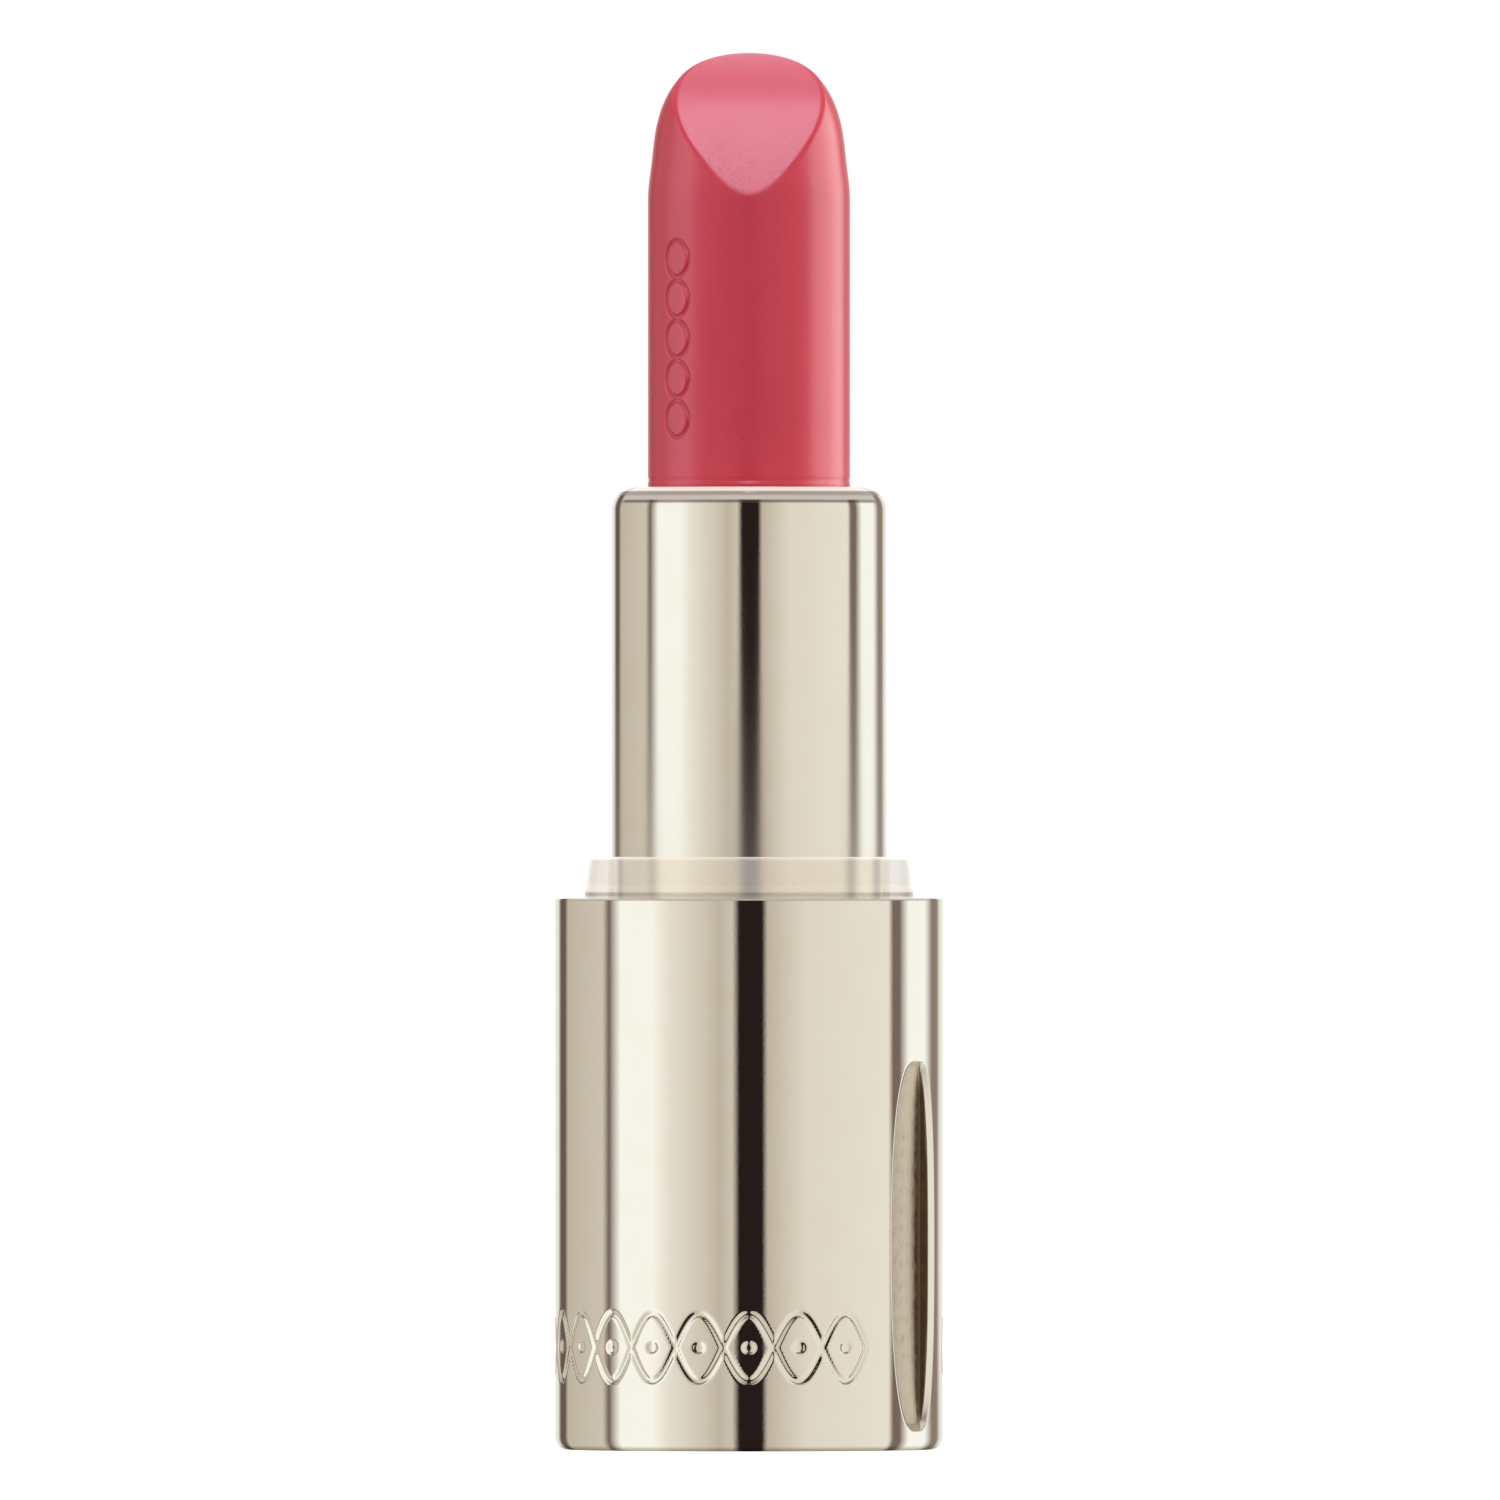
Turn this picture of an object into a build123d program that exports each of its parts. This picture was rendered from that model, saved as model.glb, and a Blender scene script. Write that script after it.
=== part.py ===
"""Refillable twist-up lipstick case, with its cap off and its bullet raised.

Units are millimetres and +Z is up. The origin is the centre of the base's flat underside, and the
bullet's slanted face looks towards -Y.

The case is a plated base shell with a translucent liner pressed into it. The liner's rim stands
above the shell as the collar that a cap grips. A refill drops into the liner: a slotted inner body
on a keyed foot, a spiral cam that turns around the inner body inside the metal sleeve, and a cup
that carries the bullet. The cup's two lugs pass through the inner body's straight slots into the
cam's two helical slots, so turning the sleeve moves the cup up or down.
"""

import os
from math import cos, radians, sin

from build123d import *

os.makedirs("parts", exist_ok=True)

# --- Driving dimensions ---------------------------------------------------------------------

bullet_r = 6.05  # a standard 12.1 mm moulded bullet
bullet_top = 83.75  # the raised bullet's tip
sleeve_top = 57.65  # the sleeve's rolled lip
base_r = 11.6
base_h = 33.0
collar_h = 2.5  # the liner's rim above the base shell
travel = 26.6  # the cup's full stroke, raised to lowered
turns = 1.5  # turns of the sleeve for the full stroke

running_gap = 0.07  # radial clearance where parts turn or slide
seat_gap = 0.02  # radial clearance where parts are pressed or glued

# --- Radii of the nested tubes, from the bullet outwards ------------------------------------

cup_bore_r = bullet_r + 0.05
cup_r = cup_bore_r + 0.45
body_bore_r = cup_r + running_gap
body_r = body_bore_r + 0.46
cam_bore_r = body_r + running_gap
cam_r = cam_bore_r + 0.63
sleeve_wall = 0.4
sleeve_bore_r = cam_r + seat_gap
sleeve_r = sleeve_bore_r + sleeve_wall
hidden_r = sleeve_r - 0.18  # the refill's radius inside the liner
liner_bore_r = sleeve_r + 0.25
base_bore_r = base_r - 1.6

# --- Heights of the stack --------------------------------------------------------------------

base_floor = 1.6
liner_floor = base_floor + 1.1
foot_bottom = liner_floor + 0.3
liner_step = 11.45  # the ledge under the refill's shoulder
foot_shoulder = liner_step + 0.05
flange_bottom = 15.0
flange_top = 16.3
sleeve_bottom = flange_top + 0.1
body_floor = 20.9
cup_top = sleeve_top - 0.7
cup_bottom = cup_top - 9.0
cup_floor = cup_bottom + 1.0
body_top = cup_top - 0.2
cam_top = sleeve_top - 2.0

lug_r = 0.93
slot_r = lug_r + running_gap  # half the width of the lug slots
lug_raised = cup_bottom + 1.4
lug_lowered = lug_raised - travel


# --- Base shell: plated die casting with a leaf-shaped recess in its side --------------------

foot_fillet = 0.75
rim_fillet = 0.15
label_recess_r = 9.0
label_recess_depth = 0.3
leaf_azimuth = 60  # degrees from -Y towards +X
leaf_middle = 12.22
leaf_half_height = 11.12
leaf_half_width = 2.13
leaf_depth = 0.9  # at the middle; the recess shallows to nothing at its two tips
leaf_fullness = 2.5  # exponent of the leaf's outline; 2 would be an ellipse
leaf_steps = 8  # spline points along a quarter of the outline

leaf_outward = (sin(radians(leaf_azimuth)), -cos(radians(leaf_azimuth)), 0)
leaf_across = (cos(radians(leaf_azimuth)), sin(radians(leaf_azimuth)), 0)


def leaf_curve(reach):
    """Points (share of reach, height) of half the leaf's outline, from its lower tip to its upper tip."""
    points = []
    for step in range(-leaf_steps, leaf_steps + 1):
        turn = radians(90 * step / leaf_steps)
        across = cos(turn) ** (2 / leaf_fullness) if abs(step) < leaf_steps else 0
        along = abs(sin(turn)) ** (2 / leaf_fullness) * (1 if step > 0 else -1)
        points.append((reach * across, leaf_middle + leaf_half_height * along))
    return points


leaf_outline = leaf_curve(leaf_half_width)
leaf_floor = [(base_r - depth, z) for depth, z in leaf_curve(leaf_depth)]

with BuildPart() as leaf_cutter:
    with BuildSketch(Plane(origin=(0, 0, 0), x_dir=leaf_across, z_dir=leaf_outward)):
        with BuildLine():
            Spline(*leaf_outline, tangents=((1, 0), (-1, 0)))
            Spline(*[(-across, z) for across, z in leaf_outline], tangents=((-1, 0), (1, 0)))
        make_face()
    extrude(amount=2 * base_r)
    with BuildSketch(Plane.XZ):
        with BuildLine():
            Spline(*leaf_floor, tangents=((-1, 0), (1, 0)))
            Polyline(leaf_floor[-1], (0, leaf_floor[-1][1]), (0, leaf_floor[0][1]), leaf_floor[0])
        make_face()
    revolve(axis=Axis.Z, mode=Mode.SUBTRACT)

with BuildPart() as base_shell:
    with BuildSketch():
        Circle(base_r)
    extrude(amount=base_h)
    with BuildSketch(Plane.XY.offset(base_floor)):
        Circle(base_bore_r)
    extrude(amount=base_h, mode=Mode.SUBTRACT)
    fillet(base_shell.edges().group_by(Axis.Z)[0], radius=foot_fillet)
    fillet(base_shell.edges().group_by(Axis.Z)[-1], radius=rim_fillet)
    with BuildSketch():
        Circle(label_recess_r)
    extrude(amount=label_recess_depth, mode=Mode.SUBTRACT)
    add(leaf_cutter.part, mode=Mode.SUBTRACT)

# --- Base label: a blank disc stuck in the underside's recess --------------------------------

with BuildPart() as base_label:
    with BuildSketch(Plane.XY.offset(label_recess_depth)):
        Circle(label_recess_r - 0.2)
    extrude(amount=-0.2)

# --- Base liner: translucent cup whose rim is the cap's collar -------------------------------

press_r = base_bore_r - seat_gap
relief_r = press_r - 0.48
relief_bands = ((4.0, 15.8), (18.2, 29.3))  # where the liner stands clear of the base shell
collar_foot_r = 9.82
collar_foot_h = 0.4
collar_bottom_r = 9.7
collar_top_r = 9.5
collar_top = base_h + collar_h
collar_fillet = 0.25
vent_r = 1.5
foot_r = 7.4
socket_r = foot_r + 0.1
key_count = 6
key_width = 1.4
key_height = 0.5
key_gap = 0.1

with BuildPart() as base_liner:
    with BuildSketch(Plane.XZ):
        with BuildLine():
            Polyline(
                (vent_r, base_floor),
                (press_r, base_floor),
                (press_r, base_h - 0.1),
                (collar_foot_r, base_h),
                (collar_foot_r, base_h + collar_foot_h),
                (collar_bottom_r, base_h + 2 * collar_foot_h),
                (collar_top_r, collar_top),
                (liner_bore_r, collar_top),
                (liner_bore_r, liner_step),
                (socket_r, liner_step),
                (socket_r, liner_floor),
                (vent_r, liner_floor),
                close=True,
            )
        make_face()
    revolve(axis=Axis.Z)
    fillet(base_liner.edges().group_by(Axis.Z)[-1], radius=collar_fillet)
    for relief_bottom, relief_top in relief_bands:
        with BuildSketch(Plane.XY.offset(relief_bottom)):
            Circle(base_r)
            Circle(relief_r, mode=Mode.SUBTRACT)
        extrude(amount=relief_top - relief_bottom, mode=Mode.SUBTRACT)
    with BuildSketch(Plane.XY.offset(liner_floor)):
        with PolarLocations(socket_r, key_count):
            Rectangle(2 * (key_height + key_gap), key_width + 2 * key_gap)
    extrude(amount=liner_step - liner_floor, mode=Mode.SUBTRACT)

# --- Refill foot: keyed plug pressed onto the inner body's neck ------------------------------

neck_r = 6.4
neck_bore_r = 5.2
neck_flat = 5.9  # from the axis to each of the neck's two flats
neck_bottom = 5.0
refill_label_r = 6.0
refill_label_depth = 0.2

with BuildPart() as refill_foot:
    with BuildSketch(Plane.XY.offset(foot_bottom)):
        Circle(foot_r)
        with PolarLocations(foot_r, key_count):
            Rectangle(2 * key_height, key_width)
    extrude(amount=foot_shoulder - foot_bottom)
    with BuildSketch(Plane.XY.offset(foot_shoulder)):
        Circle(hidden_r)
    extrude(amount=flange_bottom - foot_shoulder)
    fillet(refill_foot.faces().sort_by(Axis.Z)[0].edges(), radius=0.25)
    with BuildSketch(Plane.XY.offset(neck_bottom - 0.1)):
        Circle(neck_r + seat_gap)
        Rectangle(4 * neck_r, 2 * (neck_flat + seat_gap), mode=Mode.INTERSECT)
    extrude(amount=flange_bottom, mode=Mode.SUBTRACT)
    with BuildSketch(Plane.XY.offset(foot_bottom)):
        Circle(refill_label_r + 0.1)
    extrude(amount=refill_label_depth, mode=Mode.SUBTRACT)

# --- Refill label: a blank disc under the foot ------------------------------------------------

with BuildPart() as refill_label:
    with BuildSketch(Plane.XY.offset(foot_bottom + refill_label_depth)):
        Circle(refill_label_r)
    extrude(amount=-0.15)

# --- Inner body: tube with two straight slots that keep the cup from turning -----------------

groove_r = 6.45  # the brake ring's groove
groove_bottom = 17.2
groove_top = 18.2
bead_r = body_r + 0.22  # the bead that snaps into the cam
bead_height = 19.6
body_vent_r = 1.2
body_floor_thickness = 0.9

with BuildPart() as inner_body:
    with BuildSketch(Plane.XZ):
        with BuildLine():
            Polyline(
                (neck_bore_r, neck_bottom),
                (neck_r, neck_bottom),
                (neck_r, flange_bottom),
                (hidden_r, flange_bottom),
                (hidden_r, flange_top),
                (body_r, flange_top),
                (body_r, groove_bottom),
                (groove_r, groove_bottom),
                (groove_r, groove_top),
                (body_r, groove_top),
                (body_r, bead_height - 0.3),
                (bead_r, bead_height - 0.1),
                (bead_r, bead_height + 0.1),
                (body_r, bead_height + 0.3),
                (body_r, body_top),
                (body_bore_r, body_top),
                (body_bore_r, body_floor),
                (body_vent_r, body_floor),
                (body_vent_r, body_floor - body_floor_thickness),
                (neck_bore_r, body_floor - body_floor_thickness),
                close=True,
            )
        make_face()
    revolve(axis=Axis.Z)
    with BuildSketch(Plane.YZ):
        with Locations((0, (lug_lowered + lug_raised) / 2)):
            SlotCenterToCenter(travel + 2 * running_gap, 2 * slot_r, rotation=90)
    extrude(amount=sleeve_r, both=True, mode=Mode.SUBTRACT)
    with BuildSketch(Plane.XY.offset(neck_bottom)):
        Rectangle(4 * neck_r, 4 * neck_r)
        Rectangle(4 * neck_r, 2 * neck_flat, mode=Mode.SUBTRACT)
    extrude(amount=flange_bottom - neck_bottom, mode=Mode.SUBTRACT)

# --- Brake ring: elastomer ring that gives the twist its drag --------------------------------

ring_gap = 0.05  # above and below the ring in its groove

with BuildPart() as brake_ring:
    with BuildSketch(Plane.XY.offset(groove_bottom + ring_gap)):
        Circle(cam_bore_r - seat_gap)
        Circle(groove_r + seat_gap, mode=Mode.SUBTRACT)
    extrude(amount=groove_top - groove_bottom - 2 * ring_gap)
    fillet(brake_ring.edges(), radius=0.25)

# --- Spiral cam: tube with two helical slots -------------------------------------------------

lead = travel / turns
cam_middle_r = (cam_bore_r + cam_r) / 2
cut_depth = 1.4  # deeper than the cam's wall
bead_groove_h = 1.1

with BuildPart() as helix_cutter:
    with BuildLine() as helix:
        Helix(pitch=lead, height=travel, radius=cam_middle_r, center=(0, 0, lug_lowered))
    with BuildSketch(Plane(origin=helix.line @ 0, x_dir=(1, 0, 0), z_dir=helix.line % 0)):
        Rectangle(cut_depth, 2 * slot_r)
    sweep(path=helix.line, is_frenet=True)

with BuildPart() as spiral_cam:
    with BuildSketch(Plane.XY.offset(sleeve_bottom)):
        Circle(cam_r)
        Circle(cam_bore_r, mode=Mode.SUBTRACT)
    extrude(amount=cam_top - sleeve_bottom)
    with BuildSketch(Plane.XY.offset(bead_height - bead_groove_h / 2)):
        Circle(bead_r + running_gap)
    extrude(amount=bead_groove_h, mode=Mode.SUBTRACT)
    with PolarLocations(0, 2):
        add(helix_cutter.part, mode=Mode.SUBTRACT)
    with BuildSketch(Plane.YZ):
        with Locations((0, lug_lowered), (0, lug_raised)):
            Circle(slot_r)
    extrude(amount=sleeve_r, both=True, mode=Mode.SUBTRACT)

# --- Sleeve: drawn aluminium tube with a rolled-in lip ---------------------------------------

lip_r = bullet_r + 0.35
lip_fillet = 1.4
guide_bottom = collar_top - 0.05  # the cap slides on the sleeve from here up to the lip

with BuildPart() as sleeve:
    with BuildSketch(Plane.XY.offset(sleeve_bottom)):
        Circle(sleeve_r)
    extrude(amount=sleeve_top - sleeve_bottom)
    fillet(sleeve.edges().group_by(Axis.Z)[-1], radius=lip_fillet)
    offset(amount=-sleeve_wall, openings=sleeve.faces().sort_by(Axis.Z)[0])
    with BuildSketch(Plane.XY.offset(sleeve_top)):
        Circle(lip_r)
    extrude(amount=-2 * sleeve_wall, mode=Mode.SUBTRACT)
    with BuildSketch(Plane.XY.offset(sleeve_bottom)):
        Circle(2 * sleeve_r)
        Circle(hidden_r, mode=Mode.SUBTRACT)
    extrude(amount=guide_bottom - sleeve_bottom, mode=Mode.SUBTRACT)

# --- Cup: carries the bullet and runs on two lugs --------------------------------------------

cup_vent_r = 2.0
lug_reach = cam_r - 0.06  # lug tips stay inside the sleeve

with BuildPart() as cup:
    with BuildSketch(Plane.XY.offset(cup_bottom)):
        Circle(cup_r)
    extrude(amount=cup_top - cup_bottom)
    with BuildSketch(Plane.YZ):
        with Locations((0, lug_raised)):
            Circle(lug_r)
    extrude(amount=lug_reach, both=True)
    with BuildSketch(Plane.XY.offset(cup_floor)):
        Circle(cup_bore_r)
    extrude(amount=cup_top - cup_floor, mode=Mode.SUBTRACT)
    chamfer(cup.edges().group_by(Axis.Z)[-1].sort_by(SortBy.RADIUS)[0], length=0.2)
    with BuildSketch(Plane.XY.offset(cup_bottom)):
        Circle(cup_vent_r)
    extrude(amount=cup_floor - cup_bottom, mode=Mode.SUBTRACT)

# --- Bullet: cylinder, domed tip and one slanted, crowned face -------------------------------

bullet_bottom = cup_floor + seat_gap
shoulder = bullet_top - 8.85  # where the dome begins
dome_apex = shoulder + 9.25  # of the whole dome, before the face is cut
face_edge_r = 0.5

# the slanted face's side profile, as (distance towards the back, height)
face_bottom = (-6.32, shoulder - 0.4)
face_middle = (-2.87, shoulder + 5.27)
face_top = (3.75, shoulder + 9.5)

with BuildPart() as bullet:
    with BuildSketch(Plane.XZ):
        with BuildLine():
            Polyline((0, dome_apex), (0, bullet_bottom), (bullet_r, bullet_bottom), (bullet_r, shoulder))
            Spline(
                (bullet_r, shoulder),
                (5.8, shoulder + 2.5),
                (4.9, shoulder + 6.2),
                (3.3, shoulder + 8.2),
                (0, dome_apex),
                tangents=((0, 1), (-1, 0)),
            )
        make_face()
    revolve(axis=Axis.Z)
    with BuildSketch(Plane.YZ):
        with BuildLine():
            ThreePointArc(face_bottom, face_middle, face_top)
            Polyline(face_top, (face_bottom[0], face_top[1]), face_bottom)
        make_face()
    extrude(amount=bullet_r, both=True, mode=Mode.SUBTRACT)
    slanted_face = bullet.faces().filter_by(GeomType.CYLINDER).sort_by(Axis.Z)[-1]
    fillet(slanted_face.edges(), radius=face_edge_r)

# --- Write one STEP per piece ----------------------------------------------------------------

pieces = {
    "base_shell": base_shell,
    "base_label": base_label,
    "base_liner": base_liner,
    "refill_foot": refill_foot,
    "refill_label": refill_label,
    "inner_body": inner_body,
    "brake_ring": brake_ring,
    "spiral_cam": spiral_cam,
    "sleeve": sleeve,
    "cup": cup,
    "bullet": bullet,
}
for name, piece in pieces.items():
    piece.part.label = name
    export_step(piece.part, f"parts/{name}.step")
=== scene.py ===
"""Visual model of the twist-up lipstick case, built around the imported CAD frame.

Lengths inside the mesh functions are millimetres and are scaled to metres when a mesh is made.
Azimuths are degrees from -Y (towards the camera) to +X (the camera's right).
"""

from math import asin, ceil, cos, degrees, hypot, pi, radians, sin, tan

import bpy
import numpy as np
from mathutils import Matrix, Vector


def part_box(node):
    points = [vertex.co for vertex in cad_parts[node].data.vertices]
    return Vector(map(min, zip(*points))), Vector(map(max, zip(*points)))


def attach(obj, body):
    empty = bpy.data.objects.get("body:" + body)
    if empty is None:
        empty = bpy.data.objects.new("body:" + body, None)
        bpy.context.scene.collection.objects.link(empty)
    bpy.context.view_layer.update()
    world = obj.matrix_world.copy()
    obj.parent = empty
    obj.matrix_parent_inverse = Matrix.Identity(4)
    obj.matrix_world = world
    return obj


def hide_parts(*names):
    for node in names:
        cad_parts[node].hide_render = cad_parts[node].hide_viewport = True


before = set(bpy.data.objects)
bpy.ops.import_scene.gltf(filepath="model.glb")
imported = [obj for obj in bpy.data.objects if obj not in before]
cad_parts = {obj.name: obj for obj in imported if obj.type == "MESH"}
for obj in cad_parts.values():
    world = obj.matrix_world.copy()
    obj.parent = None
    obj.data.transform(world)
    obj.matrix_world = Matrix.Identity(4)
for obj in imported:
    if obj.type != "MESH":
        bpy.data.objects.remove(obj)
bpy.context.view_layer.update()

MM = 0.001
SAME = 1e-6  # lengths closer than this are equal


# --- Sizes taken from the frame -----------------------------------------------------------------


def node_radius(name):
    low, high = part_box(name)
    return (high[0] - low[0]) / 2 / MM


def node_low(name):
    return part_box(name)[0][2] / MM


def node_high(name):
    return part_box(name)[1][2] / MM


BASE_R = node_radius("base_shell")
BASE_H = node_high("base_shell")
COLLAR_TOP = node_high("base_liner")
SLEEVE_R = node_radius("sleeve")
SLEEVE_TOP = node_high("sleeve")
SLEEVE_BOTTOM = node_low("sleeve")
BULLET_R = node_radius("bullet")
BULLET_TOP = node_high("bullet")
BULLET_BOTTOM = node_low("bullet")


# --- Mesh tools -----------------------------------------------------------------------------------


def unit(vectors):
    return vectors / np.maximum(np.linalg.norm(vectors, axis=-1, keepdims=True), 1e-12)


def smoothstep(low, high, value):
    t = np.clip((value - low) / (high - low), 0.0, 1.0)
    return t * t * (3 - 2 * t)


def rounded(corners, closed=False, steps=6):
    """Points and outward normals of a profile of (r, z, radius) corners, with the outside on its right."""
    points, normals = [], []
    count = len(corners)
    for i, (r, z, radius) in enumerate(corners):
        here = np.array((r, z), float)
        before = np.array(corners[i - 1][:2], float) if closed or i > 0 else None
        after = np.array(corners[(i + 1) % count][:2], float) if closed or i < count - 1 else None
        if before is None or after is None:
            along = unit(after - here) if before is None else unit(here - before)
            points.append(here)
            normals.append((along[1], -along[0]))
            continue
        arrive, leave = unit(here - before), unit(after - here)
        turn = np.arctan2(arrive[0] * leave[1] - arrive[1] * leave[0], arrive @ leave)
        normal = np.array((arrive[1], -arrive[0]))
        start = here - arrive * radius * tan(abs(turn) / 2)
        side = 1 if turn > 0 else -1
        centre = start - side * radius * normal
        pieces = max(2, ceil(abs(degrees(turn)) / 90 * steps))
        for k in range(pieces + 1):
            angle = turn * k / pieces
            spun = np.array(
                (
                    normal[0] * cos(angle) - normal[1] * sin(angle),
                    normal[0] * sin(angle) + normal[1] * cos(angle),
                )
            )
            points.append(centre + side * radius * spun)
            normals.append(spun)
    return np.array(points), np.array(normals)


def turned(points, normals, columns):
    """A grid of points and normals from a profile turned about Z."""
    angles = np.arange(columns) * 2 * pi / columns
    ring = np.stack((np.cos(angles), np.sin(angles)), axis=-1)
    grid = np.zeros((len(points), columns, 3))
    lean = np.zeros_like(grid)
    grid[..., :2] = points[:, None, :1] * ring
    grid[..., 2] = points[:, None, 1]
    lean[..., :2] = normals[:, None, :1] * ring
    lean[..., 2] = normals[:, None, 1]
    return grid, lean


def grid_normals(grid):
    """Outward normals of a grid that wraps around its columns, from second-order differences."""

    def slope(before, here, after):
        back, ahead = here - before, after - here
        a = np.maximum(np.linalg.norm(back, axis=-1, keepdims=True), 1e-9)
        b = np.maximum(np.linalg.norm(ahead, axis=-1, keepdims=True), 1e-9)
        return (ahead / b * a + back / a * b) / (a + b)

    around = slope(np.roll(grid, 1, axis=1), grid, np.roll(grid, -1, axis=1))
    padded = np.concatenate((2 * grid[:1] - grid[1:2], grid, 2 * grid[-1:] - grid[-2:-1]))
    along = slope(padded[:-2], grid, padded[2:])
    return unit(np.cross(around, along))


def shifted(mask):
    """A mask's four neighbours in a grid."""
    return [np.roll(mask, shift, axis=axis) for shift, axis in ((1, 0), (-1, 0), (1, 1), (-1, 1))]


def grid_object(name, grid, normals, closed=False, bottom=None, top=None):
    """A smooth-shaded mesh object from a grid that wraps around its columns.
    closed also joins the last row to the first; bottom and top are heights of points that close the ends."""
    rows, columns = grid.shape[:2]
    vertices = grid.reshape(-1, 3)
    index = np.arange(rows * columns).reshape(rows, columns)
    low = index if closed else index[:-1]
    high = np.roll(index, -1, axis=0) if closed else index[1:]
    quads = np.stack((low, np.roll(low, -1, axis=1), np.roll(high, -1, axis=1), high), axis=-1)
    faces = quads.reshape(-1, 4).tolist()
    lean = normals.reshape(-1, 3)
    for height, row, flip in ((bottom, index[0], True), (top, index[-1], False)):
        if height is None:
            continue
        tip = len(vertices)
        vertices = np.vstack((vertices, (0, 0, height)))
        lean = np.vstack((lean, (0, 0, -1 if flip else 1)))
        following = np.roll(row, -1)
        pairs = zip(following, row) if flip else zip(row, following)
        faces += [(int(a), int(b), tip) for a, b in pairs]
    mesh = bpy.data.meshes.new(name)
    mesh.from_pydata((vertices * MM).tolist(), [], faces)
    mesh.polygons.foreach_set("use_smooth", [True] * len(mesh.polygons))
    mesh.normals_split_custom_set_from_vertices(unit(lean).tolist())
    obj = bpy.data.objects.new(name, mesh)
    bpy.context.scene.collection.objects.link(obj)
    return obj


def point_values(obj, name, values):
    """Stores one number per vertex for a material to read."""
    layer = obj.data.attributes.new(name, "FLOAT", "POINT")
    full = np.zeros(len(obj.data.vertices))
    full[: values.size] = values.ravel()
    layer.data.foreach_set("value", full)


def place(obj, body, slot, material, *nodes):
    """Dresses a finished piece and fixes it to its body."""
    obj.data.materials.clear()
    obj.data.materials.append(material)
    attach(obj, body)
    if nodes:
        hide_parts(*nodes)


# --- Material tools -------------------------------------------------------------------------------


class Shader:
    """Short calls for building a node tree."""

    def __init__(self, tree):
        self.tree = tree
        tree.nodes.clear()

    def node(self, kind, inputs=None, **settings):
        made = self.tree.nodes.new(kind)
        for key, value in settings.items():
            setattr(made, key, value)
        for key, value in (inputs or {}).items():
            if isinstance(value, bpy.types.NodeSocket):
                self.tree.links.new(value, made.inputs[key])
            else:
                made.inputs[key].default_value = value
        return made

    def math(self, operation, *values, clamp=False):
        inputs = dict(enumerate(values))
        return self.node("ShaderNodeMath", inputs, operation=operation, use_clamp=clamp).outputs[0]

    def product(self, *values):
        made = values[0]
        for value in values[1:]:
            made = self.math("MULTIPLY", made, value)
        return made

    def span(self, value, low, high, to_low=0.0, to_high=1.0):
        """A smooth step from to_low to to_high as value goes from low to high."""
        inputs = {"Value": value, "From Min": low, "From Max": high, "To Min": to_low, "To Max": to_high}
        return self.node("ShaderNodeMapRange", inputs, interpolation_type="SMOOTHSTEP").outputs["Result"]

    def mix(self, factor, first, second, blend="MIX"):
        """A blend of two colours."""
        inputs = {0: factor, 6: first, 7: second}
        return self.node("ShaderNodeMix", inputs, data_type="RGBA", blend_type=blend).outputs[2]

    def blend(self, factor, first, second):
        """A blend of two numbers."""
        return self.node("ShaderNodeMix", {0: factor, 2: first, 3: second}, data_type="FLOAT").outputs[0]

    def noise(self, vector, scale, detail=2.0, roughness=0.5):
        inputs = {"Vector": vector, "Scale": scale, "Detail": detail, "Roughness": roughness}
        return self.node("ShaderNodeTexNoise", inputs).outputs["Fac"]

    def upright(self, vector):
        """A vector's Z."""
        return self.node("ShaderNodeSeparateXYZ", {0: vector}).outputs["Z"]

    def bump(self, height, strength, distance):
        inputs = {"Strength": strength, "Distance": distance, "Height": height}
        return self.node("ShaderNodeBump", inputs).outputs["Normal"]

    def ramp(self, value, stops):
        made = self.node("ShaderNodeValToRGB", {"Fac": value})
        elements = made.color_ramp.elements
        elements[0].position, elements[0].color = stops[0]
        elements[1].position, elements[1].color = stops[-1]
        for position, colour in stops[1:-1]:
            elements.new(position).color = colour
        return made.outputs["Color"]

    def object_place(self):
        return self.node("ShaderNodeTexCoord").outputs["Object"]

    def point_value(self, name):
        return self.node("ShaderNodeAttribute", attribute_name=name).outputs["Fac"]

    def finish(self, socket, kind="ShaderNodeOutputMaterial"):
        self.tree.links.new(socket, self.tree.nodes.new(kind).inputs["Surface"])


def material(name):
    made = bpy.data.materials.new(name)
    made.use_nodes = True
    return made, Shader(made.node_tree)


def linear(red, green, blue):
    """An 8-bit display colour as linear light."""
    values = np.array((red, green, blue)) / 255
    return np.where(values <= 0.04045, values / 12.92, ((values + 0.055) / 1.055) ** 2.4)


def rgba(colour):
    return (*(float(c) for c in colour), 1.0)


# --- Base shell -----------------------------------------------------------------------------------

COLUMN_PITCH = 0.114  # between the plain columns of the base's mesh
FOOT_R = 0.75
TOP_EDGE_R = 0.15
LABEL_R = 9.0
LABEL_DEPTH = 0.3
BORE_R = 10.0
FLOOR_Z = 1.6

LEAF_AZIMUTH = 60
LEAF_MID = 12.22
LEAF_TALL = 11.12  # half its height
LEAF_HALF = 2.2  # half its width
LEAF_FULLNESS = 2.5
LEAF_DEPTH = 0.9
LEAF_RAMP = 0.5  # the floor rises to each tip over this height
TIP_GROWTH = 0.3  # the share of an offset by which the outline also grows in height
RIM_WIDE, RIM_DROP = 0.32, 0.28  # the bevel from the base's side into the leaf's wall
RIM_STEPS = (0, 0.04, 0.08, 0.2, 0.35, 0.5, 0.65, 0.8, 0.92, 0.96, 1.0)  # shares of the bevel's width
WALL_DRAFT = 0.04
CORNER_ROUND = 0.08  # where the leaf's floor turns up into its wall
LEAST_STEP = 0.012  # between neighbouring columns at the tips
FARTHEST, HALVINGS = 6.0, 40  # where the search for an offset starts, and its steps
LEAF_REACH = 3.6  # the fine columns reach this far from the leaf's centre line

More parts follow.
